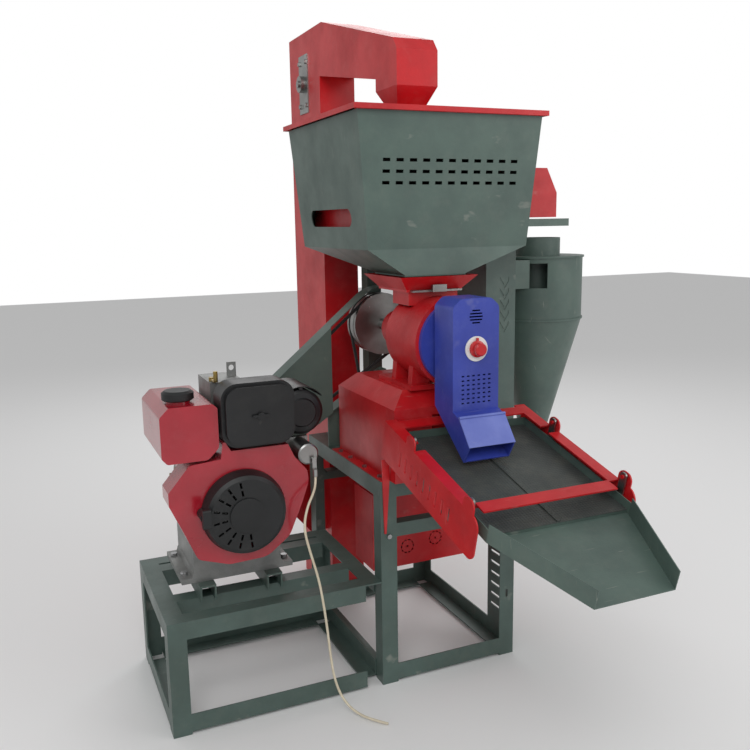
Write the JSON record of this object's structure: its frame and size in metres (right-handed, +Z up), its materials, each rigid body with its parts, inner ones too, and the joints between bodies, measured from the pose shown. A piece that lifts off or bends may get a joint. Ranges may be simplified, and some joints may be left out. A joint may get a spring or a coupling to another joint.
{
  "type": "rice huller",
  "caption": "Engine-driven rice huller: paddy screen hopper, bucket elevator, milling head, bran blower with cyclone and a vibratory rice screen.",
  "frame": {"origin": "on the floor under the middle of the machine's own footprint, leads left out", "axes": "+X to the right along the hopper's front, +Y to the back, +Z up"},
  "size_m": [1.621, 1.7114, 1.978],
  "materials": {
    "frame_paint": "satin",
    "hopper_paint": "satin",
    "red_paint": "satin",
    "engine_red": "gloss",
    "blue_paint": "satin",
    "flap_blue": "satin",
    "black_paint": "satin",
    "black_plastic": "matte",
    "cast_alloy": "cast",
    "cast_iron": "painted cast",
    "steel": "machined",
    "zinc": "zinc plated",
    "white_plate": "printed",
    "red_plastic": "gloss",
    "belt_rubber": "matte",
    "cream_cable": "matte"
  },
  "bodies": {
    "frame": {"main_frame": "frame_paint", "engine_frame": "frame_paint", "engine_rails": "frame_paint", "crankcase": "cast_alloy", "cylinder_head": "cast_alloy", "fan_cowl": "engine_red", "recoil_starter": "black_plastic", "fuel_tank": "engine_red", "air_cleaner": "black_paint", "muffler": "black_paint", "muffler_guard": "black_paint", "starter_motor": "steel", "injection_pump": "zinc", "mill_base": "red_paint", "mill_stand": "cast_iron", "milling_cylinder": "cast_iron", "mill_sieve": "steel", "mill_bearings": "cast_iron", "outlet_flange": "blue_paint", "outlet_head": "blue_paint", "dial_plate": "white_plate", "inlet_funnel": "red_paint", "hopper_body": "hopper_paint", "hopper_lid": "red_paint", "hopper_funnel": "hopper_paint", "impurity_chute": "hopper_paint", "hopper_posts": "frame_paint", "elevator_casing": "red_paint", "elevator_arm": "red_paint", "elevator_spout": "red_paint", "takeup_bearings": "steel", "bucket_belt": "belt_rubber", "feed_boot": "red_paint", "cyclone_body": "hopper_paint", "cyclone_duct": "hopper_paint", "blower_box": "red_paint", "dust_hood": "red_paint", "main_belt": "belt_rubber", "blower_belt": "belt_rubber", "belt_cover": "hopper_paint", "screen_frame": "red_paint", "fasteners": "zinc", "battery_lead": "cream_cable"},
    "mill_rotor": {"mill_rotor": "steel"},
    "crankshaft": {"crankshaft": "steel"},
    "blower_wheel": {"blower_wheel": "steel"},
    "head_drum": {"head_drum": "steel"},
    "boot_drum": {"boot_drum": "steel"},
    "tray": {"screen_tray": "hopper_paint", "screen_mesh": "steel"},
    "rear_hangers": {"rear_hangers": "steel"},
    "front_hangers": {"front_hangers": "steel"},
    "paddy_screen": {"paddy_screen": "red_paint"},
    "pressure_knob": {"pressure_knob": "red_plastic"},
    "outlet_flap": {"outlet_flap": "flap_blue"},
    "feed_gate": {"feed_gate": "steel"},
    "starter_handle": {"starter_handle": "black_plastic"},
    "fuel_cap": {"fuel_cap": "black_plastic"},
    "speed_lever": {"speed_lever": "zinc"},
    "decompression_lever": {"decompression_lever": "zinc"}
  },
  "joints": [
    {"name": "mill_spin", "type": "hinge", "parent": "frame", "child": "mill_rotor", "pos_m": [0.0065, 0.40074, 1.018], "axis": [0, 1, 0], "continuous": true},
    {"name": "engine_spin", "type": "hinge", "parent": "frame", "child": "crankshaft", "pos_m": [-0.5825, 0.38074, 0.59], "axis": [0, 1, 0], "continuous": true},
    {"name": "blower_spin", "type": "hinge", "parent": "frame", "child": "blower_wheel", "pos_m": [0.0645, 0.38074, 0.352], "axis": [0, 1, 0], "continuous": true},
    {"name": "elevator_head_spin", "type": "hinge", "parent": "frame", "child": "head_drum", "pos_m": [-0.0615, 0.70674, 1.812], "axis": [1, 0, 0], "continuous": true},
    {"name": "elevator_boot_spin", "type": "hinge", "parent": "frame", "child": "boot_drum", "pos_m": [-0.0615, 0.70674, 0.15], "axis": [1, 0, 0], "continuous": true},
    {"name": "tray_shake", "type": "slide", "parent": "frame", "child": "tray", "axis": [0, -0.969, -0.247], "range_m": [-0.006, 0.006], "stiffness_N_per_m": 40000},
    {"name": "rear_hanger_swing", "type": "hinge", "parent": "frame", "child": "rear_hangers", "pos_m": [0.0025, -0.24731, 0.79235], "axis": [-1, 0, 0], "range_deg": [-8, 8]},
    {"name": "front_hanger_swing", "type": "hinge", "parent": "frame", "child": "front_hangers", "pos_m": [0.0025, -0.54189, 0.71727], "axis": [-1, 0, 0], "range_deg": [-8, 8]},
    {"name": "paddy_screen_shake", "type": "slide", "parent": "frame", "child": "paddy_screen", "axis": [1, 0, 0], "range_m": [-0.006, 0.006], "stiffness_N_per_m": 20000},
    {"name": "pressure_knob_turn", "type": "hinge", "parent": "frame", "child": "pressure_knob", "pos_m": [-0.0065, -0.24926, 1.018], "axis": [0, -1, 0], "range_deg": [-150, 150]},
    {"name": "outlet_flap_swing", "type": "hinge", "parent": "frame", "child": "outlet_flap", "pos_m": [-0.0075, -0.28267, 0.84579], "axis": [-1, 0, 0], "range_deg": [0, 75]},
    {"name": "feed_gate_slide", "type": "slide", "parent": "frame", "child": "feed_gate", "axis": [0, -1, 0], "range_m": [0, 0.085]},
    {"name": "starter_pull", "type": "slide", "parent": "frame", "child": "starter_handle", "axis": [0, -1, 0], "range_m": [0, 0.45], "stiffness_N_per_m": 60, "springref_m": -0.05},
    {"name": "fuel_cap_turn", "type": "hinge", "parent": "frame", "child": "fuel_cap", "pos_m": [-0.7275, 0.06074, 0.9], "axis": [0, 0, 1], "range_deg": [0, 90]},
    {"name": "speed_lever_swing", "type": "hinge", "parent": "frame", "child": "speed_lever", "pos_m": [-0.7355, 0.12074, 0.61], "axis": [1, 0, 0], "range_deg": [-25, 25]},
    {"name": "decompression_swing", "type": "hinge", "parent": "frame", "child": "decompression_lever", "pos_m": [-0.6165, 0.14074, 0.79], "axis": [0, 0, 1], "range_deg": [-60, 60]}
  ],
  "couplings": [
    {"joint": "engine_spin", "follows": "mill_spin", "ratio": 1.8182},
    {"joint": "blower_spin", "follows": "mill_spin", "ratio": 2.5},
    {"joint": "elevator_boot_spin", "follows": "elevator_head_spin", "ratio": 1},
    {"joint": "rear_hanger_swing", "follows": "tray_shake", "rad_per_m": 19.231},
    {"joint": "front_hanger_swing", "follows": "tray_shake", "rad_per_m": 19.231}
  ]
}
